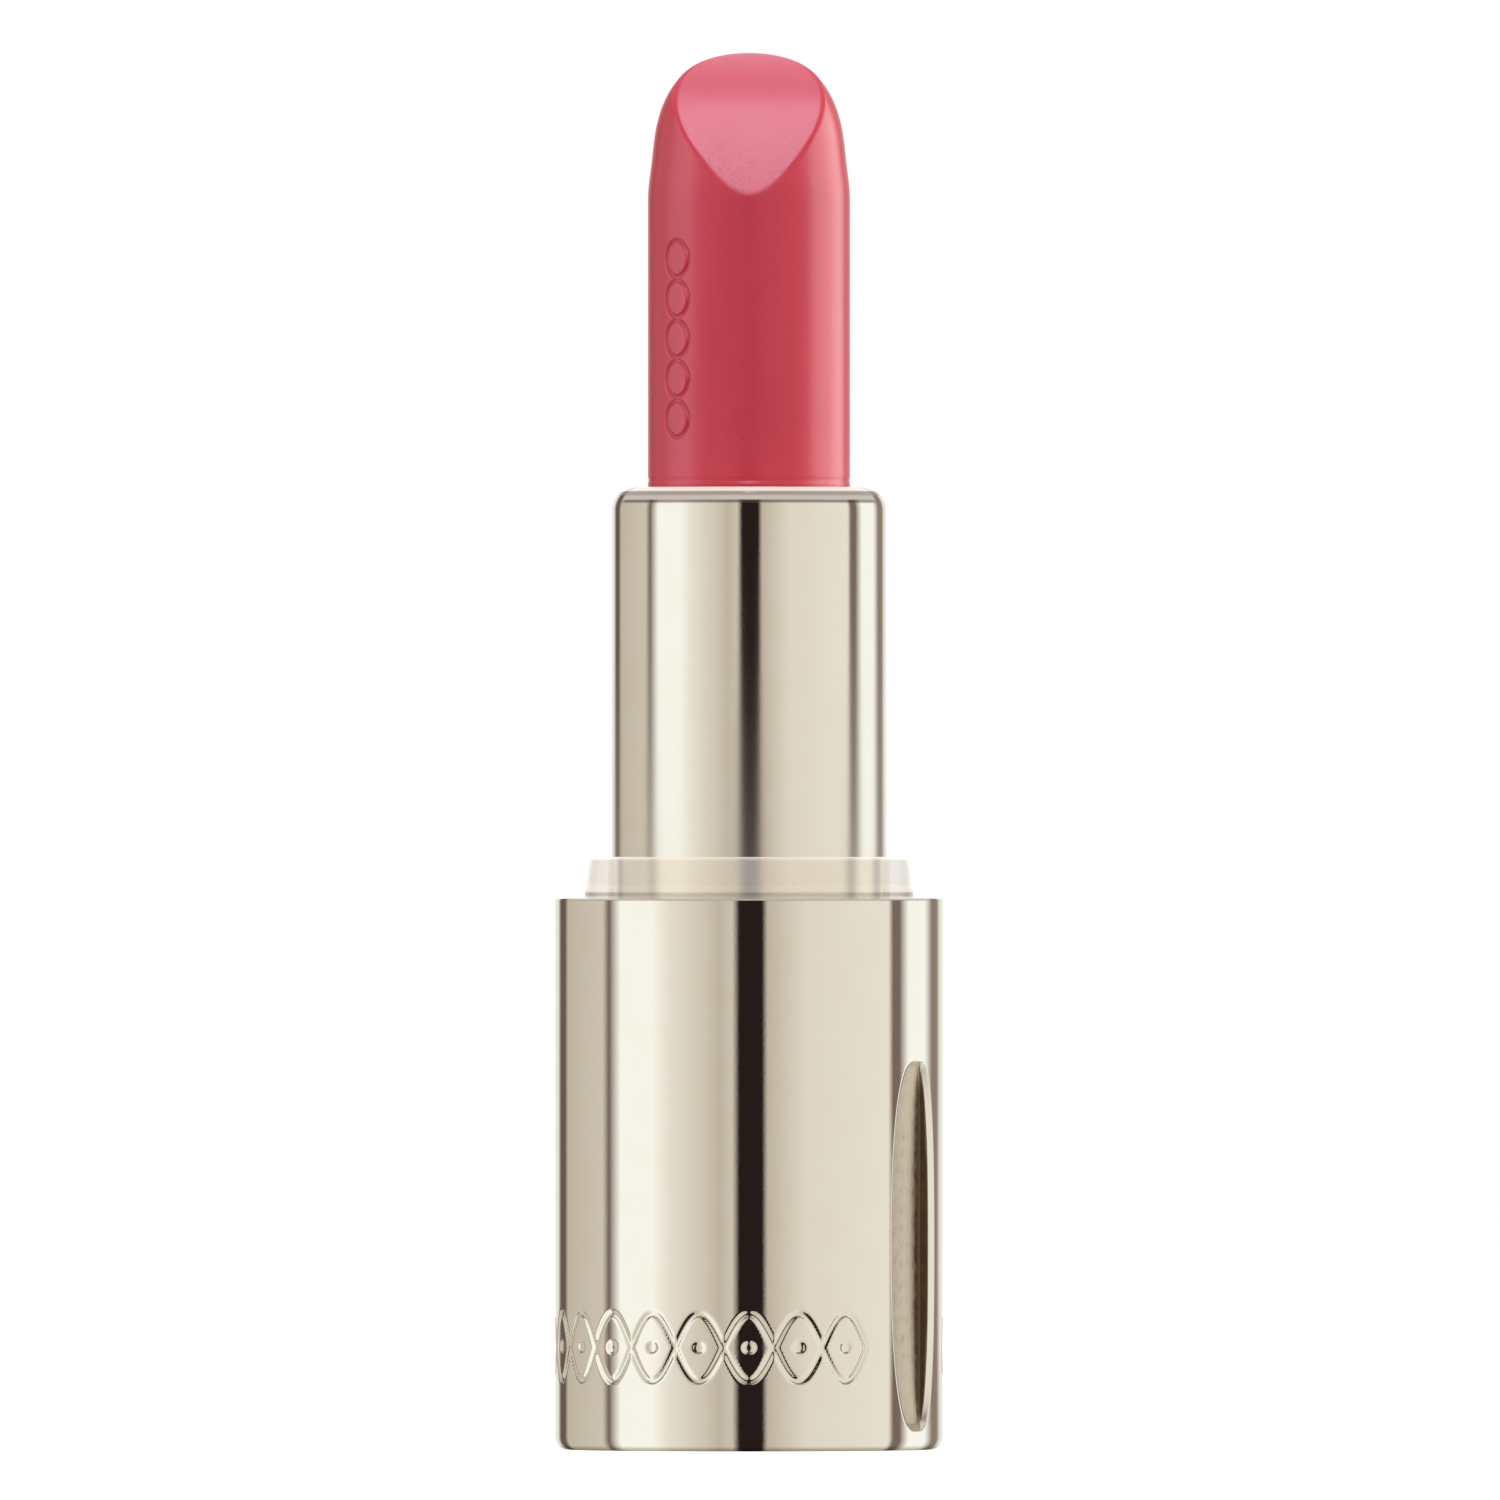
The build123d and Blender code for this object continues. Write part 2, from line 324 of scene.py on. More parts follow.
BAND_MID = 6.2
BAND_RISE = 2.0  # the waves' swing above and below the middle
BAND_WAVES = 12
BAND_STROKE = 0.28  # half the groove's width
BAND_SOFT = 0.26  # the width of the groove's sloping side
BAND_DEPTH = 0.12
BAND_MARGIN = 0.5
BAND_LOW = BAND_MID - BAND_RISE - BAND_MARGIN
BAND_HIGH = BAND_MID + BAND_RISE + BAND_MARGIN
DIMPLE_R = 0.48
DIMPLE_SOFT = 0.3

PIP_PITCH = 1.1
PIP_R, PIP_TIP_R = 0.3, 0.1
PIP_HEIGHT = 0.05
PIP_ROW_HALF = 7.2
PIP_FLOOR = 0.3  # pips stand only where the leaf is deeper than this
CENTRE_GAP = 1.0  # the flats' profiles stop at this radius; a fan of faces fills the middle


def leaf_contour(offset, z):
    """Half width, at a height, of the leaf's outline grown outwards by an offset."""
    along = np.minimum(abs(z - LEAF_MID) / (LEAF_TALL + TIP_GROWTH * offset), 1.0)
    return (LEAF_HALF + offset) * (1 - along**LEAF_FULLNESS) ** (1 / LEAF_FULLNESS)


def leaf_offset(across, z):
    """How far outside the leaf's outline each point of a row lies; negative inside."""
    low, high = np.full(len(across), 0.01 - LEAF_HALF), np.full(len(across), FARTHEST)
    for _ in range(HALVINGS):
        middle = (low + high) / 2
        beyond = leaf_contour(middle, z) > across
        high = np.where(beyond, middle, high)
        low = np.where(beyond, low, middle)
    return (low + high) / 2


def leaf_section(z):
    """Half a cut across the leaf at a height, from the middle outwards.
    Each row is (distance from the centre line, depth, and the amounts of floor, wall and rim). The floor's
    satin is darkened in part as painted shade, the wall is painted shade and the rim carries a painted
    highlight."""
    rise = abs(z - LEAF_MID)
    share = (1 - min(rise / LEAF_TALL, 1.0) ** LEAF_FULLNESS) ** (1 / LEAF_FULLNESS)
    deep = LEAF_DEPTH * share * float(smoothstep(0, LEAF_RAMP, LEAF_TALL - rise)) ** 0.5
    corner, drop = min(CORNER_ROUND, 0.2 * deep), min(RIM_DROP, 0.7 * deep)
    inner = -WALL_DRAFT - CORNER_ROUND
    # columns: across the floor, up the corner and the nearly upright wall, out over the bevel, then beyond
    offsets = np.concatenate(
        (
            inner + CORNER_ROUND * (1 - np.cos(np.linspace(0, pi / 2, 6))),
            np.linspace(-WALL_DRAFT, 0, 5)[1:-1],
            RIM_WIDE * np.array(RIM_STEPS),
        )
    )
    edge = leaf_contour(offsets, z)
    across = list(np.linspace(0, edge[0], 8)[:-1])
    for x in edge:
        across.append(max(x, across[-1] + LEAST_STEP))
    across = np.array(across + list(np.linspace(across[-1], LEAF_REACH, 11)[1:]))
    away = leaf_offset(across, z)
    # depths, in the same order
    depth = np.full(len(across), deep)
    turn = np.clip((-WALL_DRAFT - away) / CORNER_ROUND, 0, 1)
    depth = np.where(away > inner, deep - corner * (1 - np.sqrt(1 - (1 - turn) ** 2)), depth)
    slope = drop + (deep - corner - drop) * np.clip(-away / WALL_DRAFT, 0, 1)
    depth = np.where(away > -WALL_DRAFT, slope, depth)
    depth = np.where(away > 0, drop * np.clip(1 - away / RIM_WIDE, 0, 1), depth)
    # amounts of each finish: satin floor, painted shade on the wall and painted highlight on the rim; the
    # wall's painted shade fades out towards the tips
    rim = smoothstep(-0.01, 0.03, away)
    seen = smoothstep(0.0, 0.02, depth)
    # dark is the amount of painted shade on the wall
    dark = smoothstep(inner - 0.06, inner + 0.04, away) * (1 - rim) * float(smoothstep(0.25, 0.7, share))
    return np.column_stack((across, depth, (1 - dark) * (1 - rim) * seen, dark * seen, rim * seen))


def band_relief(angle, z):
    """Depth of two interlaced waves cut around the foot, with a dimple in each lens between them."""
    leaf = radians(LEAF_AZIMUTH)
    around = BAND_WAVES * (angle - leaf)
    steep = np.sqrt(1 + (BAND_RISE * BAND_WAVES / BASE_R * np.sin(around)) ** 2)
    relief = np.zeros_like(angle)
    for side in (1, -1):
        away = np.abs(z - BAND_MID - side * BAND_RISE * np.cos(around)) / steep
        relief = np.maximum(relief, smoothstep(BAND_STROKE, BAND_STROKE - BAND_SOFT, away))
    pitch = pi / BAND_WAVES
    beside = (np.mod(angle - leaf + pitch / 2, pitch) - pitch / 2) * BASE_R
    dimple = smoothstep(DIMPLE_R, DIMPLE_R - DIMPLE_SOFT, np.hypot(beside, z - BAND_MID))
    relief = np.maximum(relief, dimple)
    # the band stops a lens and a half short of the leaf's centre line
    apart = np.abs(np.mod(angle - leaf + pi, 2 * pi) - pi)
    return BAND_DEPTH * relief * smoothstep(1.45 * pitch, 1.52 * pitch, apart)


def pip_relief(across, z):
    """Small bumps along the leaf's centre line."""
    up = np.mod(z - LEAF_MID + PIP_PITCH / 2, PIP_PITCH) - PIP_PITCH / 2
    near = smoothstep(0, PIP_R - PIP_TIP_R, PIP_R - np.hypot(across, up))
    return PIP_HEIGHT * near * (abs(z - LEAF_MID) < PIP_ROW_HALF)


def base_rows():
    """Heights of the rows up the outer wall, closer together where there is detail."""
    low, high = LEAF_MID - LEAF_TALL, LEAF_MID + LEAF_TALL
    # stretches of rows: from, to, pitch
    stretches = (
        (low, low + 0.8, 0.07),
        (2.0, BAND_LOW, 0.14),
        (BAND_LOW, BAND_HIGH + 0.01, 0.115),
        (BAND_HIGH + 0.2, high - 2.0, 0.34),
        (high - 1.9, high - 0.8, 0.13),
        (high - 0.78, high + 0.2, 0.07),
    )
    heights = [low - 0.12, low - 0.04]
    for start, end, pitch in stretches:
        heights += list(np.arange(start, end, pitch))
    plain_wall = [24.5, 28.5, BASE_H - TOP_EDGE_R - 0.1]
    return heights + plain_wall


def make_base_shell():
    inside = 2 * len(leaf_section(LEAF_MID)) - 1
    gap_half = asin(LEAF_REACH / BASE_R)
    plain = int((2 * pi - 2 * gap_half) * BASE_R / COLUMN_PITCH)
    plain_angles = gap_half + (2 * pi - 2 * gap_half) * np.arange(1, plain) / plain
    leaf = radians(LEAF_AZIMUTH)

    def ring(z, r, with_detail):
        """One row of points: the leaf's columns first, then the plain ones."""
        section = leaf_section(z)
        # the left half mirrors the right one, but its bevel takes the floor's satin tint, darkened in part as
        # painted shade, in place of the painted highlight
        near_side = section[:0:-1] * (-1, 1, 1, 1, 1)
        near_side[:, 2] = np.maximum(near_side[:, 2], near_side[:, 4])
        near_side[:, 4] = 0
        full = np.vstack((near_side, section))
        if with_detail:
            depth = full[:, 1] - pip_relief(full[:, 0], z) * (full[:, 1] > PIP_FLOOR)
            radius = r - depth
            turn = np.arcsin(full[:, 0] / radius)
        else:
            radius = np.full(inside, r)
            turn = np.arcsin(full[:, 0] / BASE_R)
        angle = np.concatenate((leaf + turn, leaf + plain_angles))
        radius = np.concatenate((radius, np.full(len(plain_angles), r)))
        if with_detail and BAND_LOW <= z <= BAND_HIGH:
            radius -= band_relief(angle, z)
        shade = np.vstack((full[:, 2:] * with_detail, np.zeros((len(plain_angles), 3))))
        points = np.stack((radius * np.sin(angle), -radius * np.cos(angle), np.full(len(angle), z)), axis=-1)
        return points, shade

    foot, foot_lean = rounded(
        [
            (CENTRE_GAP, LABEL_DEPTH, 0),
            (LABEL_R, LABEL_DEPTH, 0.05),
            (LABEL_R, 0, 0.08),
            (BASE_R, 0, FOOT_R),
            (BASE_R, FOOT_R + 0.02, 0),
        ],
        steps=9,
    )
    top, top_lean = rounded(
        [
            (BASE_R, BASE_H - 0.3, 0),
            (BASE_R, BASE_H, TOP_EDGE_R),
            (BORE_R, BASE_H, 0.06),
            (BORE_R, FLOOR_Z, 0.1),
            (CENTRE_GAP, FLOOR_Z, 0),
        ]
    )
    rows, leans, marks = [], [], []

    def add_profile(points, lean):
        """Adds plain rows. They use the leaf's columns too, so that the grid stays regular."""
        for (r, z), (lean_r, lean_z) in zip(points, lean):
            made, shade = ring(z, 1.0, False)
            flat = made * (1, 1, 0)
            rows.append(flat * r + (0, 0, z))
            leans.append(flat * lean_r + (0, 0, lean_z))
            marks.append(shade)

    add_profile(foot[:-1], foot_lean[:-1])
    start = len(rows)
    for z in base_rows():
        made, shade = ring(z, BASE_R, True)
        rows.append(made)
        leans.append(unit(made * (1, 1, 0)))
        marks.append(shade)
    end = len(rows)
    add_profile(top[1:], top_lean[1:])
    grid, lean = np.array(rows), np.array(leans)
    wall = grid[start:end]
    # only shaped places take their normals from the mesh; the rest stay exactly radial
    shaped = np.abs(np.hypot(wall[..., 0], wall[..., 1]) - BASE_R) > SAME
    near = np.any([shaped, *shifted(shaped)], axis=0)
    lean[start:end][near] = grid_normals(wall)[near]
    shell = grid_object("case_base", grid, lean, bottom=LABEL_DEPTH, top=FLOOR_Z)
    marks = np.array(marks)
    point_values(shell, "leaf_floor", marks[..., 0])
    point_values(shell, "leaf_wall_shade", marks[..., 1])
    point_values(shell, "leaf_rim_highlight", marks[..., 2])
    return shell


# --- Liner: the translucent collar and the socket it stands in -------------------------------------


def make_liner():
    press, relief, bore, socket = 9.98, 9.5, SLEEVE_R + 0.25, 7.5
    ledge, floor, vent = 11.45, 2.7, 1.5
    foot_r, foot_h, waist_r, top_r = 9.82, 0.42, 9.7, 9.5
    edge = 0.05
    # heights between which the liner stands clear of the shell
    clear_low, clear_high = (4.0, 15.8), (18.2, 29.3)
    corners = [
        (vent, FLOOR_Z, 0.1),
        (press, FLOOR_Z, 0.2),
        (press, clear_low[0], edge),
        (relief, clear_low[0], edge),
        (relief, clear_low[1], edge),
        (press, clear_low[1], edge),
        (press, clear_high[0], edge),
        (relief, clear_high[0], edge),
        (relief, clear_high[1], edge),
        (press, clear_high[1], edge),
        (press, BASE_H - 0.12, edge),
        (foot_r, BASE_H, 0.04),
        (foot_r, BASE_H + foot_h, 0.12),
        (waist_r, BASE_H + 2 * foot_h, 0.2),
        (top_r, COLLAR_TOP, 0.28),
        (bore, COLLAR_TOP, 0.12),
        (bore, ledge, 0.1),
        (socket, ledge, 0.1),
        (socket, floor, 0.1),
        (vent, floor, 0.1),
    ]
    points, normals = rounded(corners, closed=True, steps=8)
    columns, key_slots, slot_half, slot_depth = 360, 6, 0.8, 0.6
    grid, lean = turned(points, normals, columns)
    # the key slots are cut into the socket's wall
    angle = np.arange(columns) * 2 * pi / columns
    half_pitch = pi / key_slots
    in_slot = np.abs(np.mod(angle + half_pitch, 2 * half_pitch) - half_pitch) <= slot_half / socket
    radius, height = points.T
    # the wall's rows, with the rounds at its two ends
    wall = (height > floor - 0.01) & (height < ledge + 0.01) & (np.abs(radius - socket) < 0.11)
    for row in np.nonzero(wall)[0]:
        grid[row, in_slot, :2] *= (radius[row] + slot_depth) / radius[row]
    return grid_object("case_collar", grid, lean, closed=True)


# --- Sleeve ---------------------------------------------------------------------------------------


def make_sleeve():
    wall, lip_r = 0.4, 6.4
    hidden, step = SLEEVE_R - 0.18, 35.45  # the sleeve is narrower below the collar's rim
    lip_depth, join, columns = 0.9, 0.03, 384
    corners = [
        (SLEEVE_R - wall, SLEEVE_BOTTOM, 0.08),
        (hidden, SLEEVE_BOTTOM, 0.08),
        (hidden, step, 0.02),
        (SLEEVE_R, step, 0.02),
        (SLEEVE_R, SLEEVE_TOP, 1.4),
        (lip_r, SLEEVE_TOP, 0.16),
        (lip_r, SLEEVE_TOP - wall, 0.16),
        (SLEEVE_R - wall, SLEEVE_TOP - wall, 1.0),
    ]
    points, normals = rounded(corners, closed=True, steps=14)
    grid, lean = turned(points, normals, columns)
    sleeve = grid_object("turning_sleeve_shell", grid, lean, closed=True)
    point_values(sleeve, "lip_rise", lean[..., 2] * (grid[..., 2] > SLEEVE_TOP - lip_depth))
    point_values(sleeve, "satin_band", (grid[..., 2] < step + join).astype(float))
    return sleeve


# --- Bullet: cylinder, dome and slanted crowned face ------------------------------------------------

SHOULDER = BULLET_TOP - 8.85
DOME = ((6.05, 0.0), (5.8, 2.5), (4.9, 6.2), (3.15, 8.2), (0.0, 9.25))  # radius and height above the shoulder
DOME_STEPS = 96
TIP_GAP = 0.004  # the last row's angle from straight up
FACE_CENTRE = (8.78, -5.69)  # of the face's sphere: y, and height above the shoulder
FACE_R = 16.0
FACE_ROUND, LEAST_ROUND = 0.9, 0.02  # sizes of the round between the face and the sides
FACE_DROP = 1.5  # the face's round starts this far below the shoulder
FAN_R = 0.6  # a fan of faces fills the bottom inside this radius
MOULD_LINE_Z, MOULD_LINE_DEPTH = 58.05, 0.035
MOULD_LINE_HALF, MOULD_LINE_FLAT = 0.22, 0.04
MOTIF_AZIMUTH = -46
MOTIF_REACH = 1.35  # the fine columns reach this far to each side of the motif
FINE_COLUMNS, PLAIN_COLUMNS = 38, 230
MOTIF_LOW, MOTIF_PITCH, MOTIF_COUNT = 61.7, 2.4, 5
MOTIF_HALF_H, MOTIF_HALF_W = 1.1, 0.95
MOTIF_DEPTH, MOTIF_STROKE, MOTIF_FLAT = 0.16, 0.17, 0.04


def dome_curve():
    """The dome's distance from the shoulder's centre as a function of elevation.
    Cubic stretches join the DOME points, twice smooth, and level at both ends."""
    angles = np.array([np.arctan2(h, r) for r, h in DOME])
    reach = np.array([hypot(r, h) for r, h in DOME])
    step = np.diff(angles)
    count = len(angles)
    system, right = np.zeros((count, count)), np.zeros(count)
    system[0, 0] = system[-1, -1] = 1.0
    for i in range(1, count - 1):
        system[i, i - 1 : i + 2] = 1 / step[i - 1], 2 / step[i - 1] + 2 / step[i], 1 / step[i]
        right[i] = 3 * (
            (reach[i] - reach[i - 1]) / step[i - 1] ** 2 + (reach[i + 1] - reach[i]) / step[i] ** 2
        )
    slopes = np.linalg.solve(system, right)

    def curve(elevation):
        i = np.clip(np.searchsorted(angles, elevation) - 1, 0, count - 2)
        h = angles[i + 1] - angles[i]
        t = (elevation - angles[i]) / h
        return (
            (2 * t**3 - 3 * t**2 + 1) * reach[i]
            + (t**3 - 2 * t**2 + t) * h * slopes[i]
            + (3 * t**2 - 2 * t**3) * reach[i + 1]
            + (t**3 - t**2) * h * slopes[i + 1]
        )

    return curve


def face_blended(to_side, direction, height):
    """The wax surface's reach along unit directions from a point on the axis.
    height is the point's height above the shoulder, and to_side is the reach without the slanted face.
    The two surfaces meet in a round of steady radius, so it is narrow where they meet at a shallow angle."""
    y, h = direction[..., 1], direction[..., 2]
    centre_y, centre_h = FACE_CENTRE[0], FACE_CENTRE[1] - height
    across = np.maximum(y * y + h * h, 1e-9)
    along = (y * centre_y + h * centre_h) / across
    gap = (centre_y**2 + centre_h**2 - FACE_R**2) / across
    to_face = along + np.sqrt(np.maximum(along * along - gap, 0))
    # lean is the cosine between the direction and the face's normal
    lean = (y * (to_face * y - centre_y) + h * (to_face * h - centre_h)) / FACE_R
    reach = FACE_ROUND * (1 - lean) + LEAST_ROUND
    blend = np.maximum(reach - np.abs(to_side - to_face), 0) / reach
    return np.minimum(to_side, to_face) - blend * blend * reach / 4


def motif_relief(across, z):
    """Depth of the column of pointed ovals; each oval's outline is two arcs that meet at its points."""
    arc_r = (MOTIF_HALF_H**2 + MOTIF_HALF_W**2) / (2 * MOTIF_HALF_W)
    depth = np.zeros(len(across))
    for k in range(MOTIF_COUNT):
        rise = z - (MOTIF_LOW + k * MOTIF_PITCH)
        edge = arc_r - np.hypot(np.abs(across) + arc_r - MOTIF_HALF_W, rise)
        depth = np.maximum(depth, MOTIF_DEPTH * smoothstep(MOTIF_STROKE, MOTIF_FLAT, np.abs(edge)))
    return depth


def make_bullet():
    fine = MOTIF_REACH / BULLET_R
    near = np.linspace(-fine, fine, FINE_COLUMNS, endpoint=False)
    far = np.linspace(fine, 2 * pi - fine, PLAIN_COLUMNS, endpoint=False)
    angle = radians(MOTIF_AZIMUTH) + np.concatenate((near, far))
    ring = np.stack((np.sin(angle), -np.cos(angle)), axis=-1)
    dome = dome_curve()
    bottom = [(FAN_R, BULLET_BOTTOM, 0), (BULLET_R, BULLET_BOTTOM, 0.3), (BULLET_R, 50.0, 0)]
    low, low_lean = rounded(bottom)
    # rows up the side: hidden ones, the mould line, a plain stretch, then the motif and the face's foot
    heights = [52.0, 55.0] + list(np.arange(57.7, 58.35, 0.06)) + [59.0, 60.0]
    heights += list(np.arange(60.3, SHOULDER - 0.04, 0.08)) + [SHOULDER]
    rows, leans = [], []
    for (r, z), (lean_r, lean_z) in zip(low, low_lean):
        rows.append(np.column_stack((ring * r, np.full(len(ring), z))))
        leans.append(np.column_stack((ring * lean_r, np.full(len(ring), lean_z))))
    across = BULLET_R * (np.mod(angle - radians(MOTIF_AZIMUTH) + pi, 2 * pi) - pi)
    level = np.column_stack((ring, np.zeros(len(ring))))
    body_start = len(rows)
    for z in heights:
        line = smoothstep(MOULD_LINE_HALF, MOULD_LINE_FLAT, abs(z - MOULD_LINE_Z))
        reach = BULLET_R - np.maximum(MOULD_LINE_DEPTH * float(line), motif_relief(across, z))
        if z > SHOULDER - FACE_DROP:
            reach = face_blended(reach, level, z - SHOULDER)
        rows.append(level * reach[:, None] + (0, 0, z))
    body_end = len(rows)
    climb = np.linspace(0, pi / 2, DOME_STEPS + 1)
    climb[-1] -= TIP_GAP
    for elevation in climb[1:]:
        direction = np.column_stack((ring * cos(elevation), np.full(len(ring), sin(elevation))))
        reach = face_blended(np.full(len(ring), dome(elevation)), direction, 0.0)
        rows.append(direction * reach[:, None] + (0, 0, SHOULDER))
    grid = np.array(rows)
    lean = grid_normals(grid)
    lean[:body_start] = np.array(leans)
    plain = np.abs(np.hypot(grid[..., 0], grid[..., 1]) - BULLET_R) < SAME
    side = np.zeros_like(plain)
    side[body_start : body_end - 1] = True
    steady = np.all([plain, side, *shifted(plain)], axis=0)
    radial = unit(grid * (1, 1, 0))
    lean[steady] = radial[steady]
    straight_up = np.array([[0.0, 0.0, 1.0]])
    tip = SHOULDER + float(face_blended(np.array([dome(pi / 2)]), straight_up, 0.0)[0])
    return grid_object("wax_bullet", grid, lean, bottom=BULLET_BOTTOM, top=tip)


# --- Materials ------------------------------------------------------------------------------------

CHAMPAGNE = (0.95, 0.90, 0.80)
# the leaf floor's mottled satin tint, darkened in part as painted shade of the recess
LEAF_SATIN_AND_SHADE = ((0.62, 0.52, 0.38, 1), (0.76, 0.66, 0.50, 1))
# painted shade on the leaf's wall
LEAF_WALL_SHADE = (0.22, 0.15, 0.10, 1)
# painted highlight on the leaf's far bevel
LEAF_RIM_HIGHLIGHT = (1.0, 0.95, 0.86, 1)
# the painted highlight on the sleeve's upward-facing lip: a pale matt tone and a glow
LIP_HIGHLIGHT_TONE = (0.80, 0.72, 0.62, 1)
LIP_HIGHLIGHT_GLOW = (1.0, 0.95, 0.84, 1)
MILK = ((1.0, 0.97, 0.90, 1), (0.98, 0.94, 0.86, 1))
# the milk's painted glow
MILK_PAINTED_GLOW = (1.0, 0.96, 0.88, 1)
CLEAR_TINT = (0.99, 0.97, 0.93, 1)
# painted shade where the collar's foot meets the shell
SEAM_SHADE_TONE = (0.55, 0.50, 0.40, 1)
WAX = ((0.62, 0.034, 0.058, 1), (0.65, 0.039, 0.064, 1))
FINE_GRAIN = 0.00002  # bump distances in metres
COARSE_GRAIN = 0.00004


def champagne_metal(name, roughness, with_leaf):
    """Polished warm plating with a fine uneven haze.
    The base's leaf has a mottled satin floor, darkened in part as painted shade, a wall darkened as painted
    shade and a pale painted highlight on its far bevel; its near bevel takes the floor's shaded satin. The
    sleeve's lip is painted as a highlight where it faces up, with a pale matt tone and a glow, and the sleeve
    is satin where the liner hides it."""
    made, s = material(name)
    place_on = s.object_place()
    haze = s.noise(place_on, 420, detail=4, roughness=0.6)
    grain = s.noise(place_on, 5200, detail=2)
    cloudy = s.span(haze, 0.3, 0.7, roughness - 0.01, roughness + 0.012)
    rough = s.math("ADD", cloudy, s.span(grain, 0.2, 0.8, 0, 0.008))
    tone = s.mix(s.span(haze, 0.2, 0.8), rgba(CHAMPAGNE), rgba(np.array(CHAMPAGNE) * (0.985, 0.975, 0.955)))
    height = s.math("MULTIPLY", grain, 0.3)
    extra = {}
    if with_leaf:
        # painted light in the leaf: the floor's satin tint is darkened in part as painted shade, the wall is
        # painted shade and the far bevel a painted highlight
        floor, wall, rim = (s.point_value(part) for part in ("leaf_floor", "leaf_wall_shade", "leaf_rim_highlight"))
        mottle = s.noise(place_on, 1900, detail=5, roughness=0.65)
        satin = s.mix(s.span(mottle, 0.3, 0.7), *LEAF_SATIN_AND_SHADE)
        tone = s.mix(floor, tone, satin)
        tone = s.mix(wall, tone, LEAF_WALL_SHADE)
        tone = s.mix(rim, tone, LEAF_RIM_HIGHLIGHT)
        rough = s.blend(floor, rough, s.span(mottle, 0.3, 0.7, 0.30, 0.42))
        rough = s.blend(wall, rough, 0.16)
        rough = s.blend(rim, rough, 0.24)
        height = s.math("ADD", height, s.product(mottle, floor, 6.0))
    else:
        rise = s.point_value("lip_rise")  # how far the lip's surface looks up
        # the upward-facing lip is painted as a highlight: a pale matt tone in place of metal, and a glow
        tone = s.mix(s.span(rise, 0.60, 0.68), tone, LIP_HIGHLIGHT_TONE)
        rough = s.blend(s.point_value("satin_band"), rough, 0.2)
        extra["Metallic"] = s.span(rise, 0.68, 0.60)
        extra["Emission Color"] = LIP_HIGHLIGHT_GLOW
        extra["Emission Strength"] = s.span(rise, 0.78, 0.86, 0.0, 0.55)
    bump = s.bump(height, 0.12, FINE_GRAIN)
    inputs = {"Base Color": tone, "Metallic": 1.0, "Roughness": rough, "Normal": bump} | extra
    s.finish(s.node("ShaderNodeBsdfPrincipled", inputs).outputs["BSDF"])
    return made


def frosted_plastic(name):
    """Milky translucent styrene.
    What stands behind shows through a pale haze, which thickens towards the edges and where the foot meets
    the shell's rim; there the milk is also darker, as painted shade. The milk glows as painted light, more
    where it faces up."""
    made, s = material(name)
    place_on = s.object_place()
    grain = s.noise(place_on, 2600, detail=3, roughness=0.6)
    cloud = s.noise(place_on, 260, detail=3)
    bump = s.bump(grain, 0.06, FINE_GRAIN)
    tone = s.mix(s.span(cloud, 0.3, 0.7), *MILK)
    clear = s.node("ShaderNodeBsdfTransparent", {"Color": CLEAR_TINT}).outputs[0]
    facing = s.node("ShaderNodeLayerWeight", {"Blend": 0.5}).outputs["Facing"]
    edge = s.math("POWER", facing, 2.0)
    surface = s.node("ShaderNodeNewGeometry").outputs
    front = s.math("SUBTRACT", 1.0, surface["Backfacing"])
    straight = s.node("ShaderNodeLightPath").outputs["Is Camera Ray"]
    upward, height = s.upright(surface["Normal"]), s.upright(place_on)
    # painted shade in a thin band where the collar's foot meets the shell's rim: more haze, a darker tone and
    # less glow
    starts = s.span(height, (BASE_H + 0.08) * MM, (BASE_H + 0.18) * MM)
    ends = s.span(height, (BASE_H + 0.45) * MM, (BASE_H + 0.32) * MM)
    foot_seam_shade = s.math("MULTIPLY", starts, ends)
    haze = s.math("ADD", s.span(cloud, 0.3, 0.7, 0.37, 0.42), s.math("MULTIPLY", edge, 0.9))
    haze = s.math("ADD", haze, s.math("MULTIPLY", foot_seam_shade, 0.12))
    tone = s.mix(foot_seam_shade, tone, SEAM_SHADE_TONE)
    # painted glow, brighter where the surface faces up and dimmed as painted shade at the foot
    glow = s.math("SUBTRACT", s.span(upward, 0.12, 0.6, 0.34, 0.6), s.math("MULTIPLY", foot_seam_shade, 0.15))
    milk = s.node(
        "ShaderNodeBsdfPrincipled",
        {
            "Base Color": tone,
            "Roughness": s.span(grain, 0.2, 0.8, 0.22, 0.3),
            "Emission Color": MILK_PAINTED_GLOW,
            "Emission Strength": glow,
            "Normal": bump,
        },
    ).outputs[0]
    haze = s.math("MULTIPLY", s.math("MULTIPLY", haze, front), straight, clamp=True)
    s.finish(s.node("ShaderNodeMixShader", {0: haze, 1: clear, 2: milk}).outputs[0])
    return made


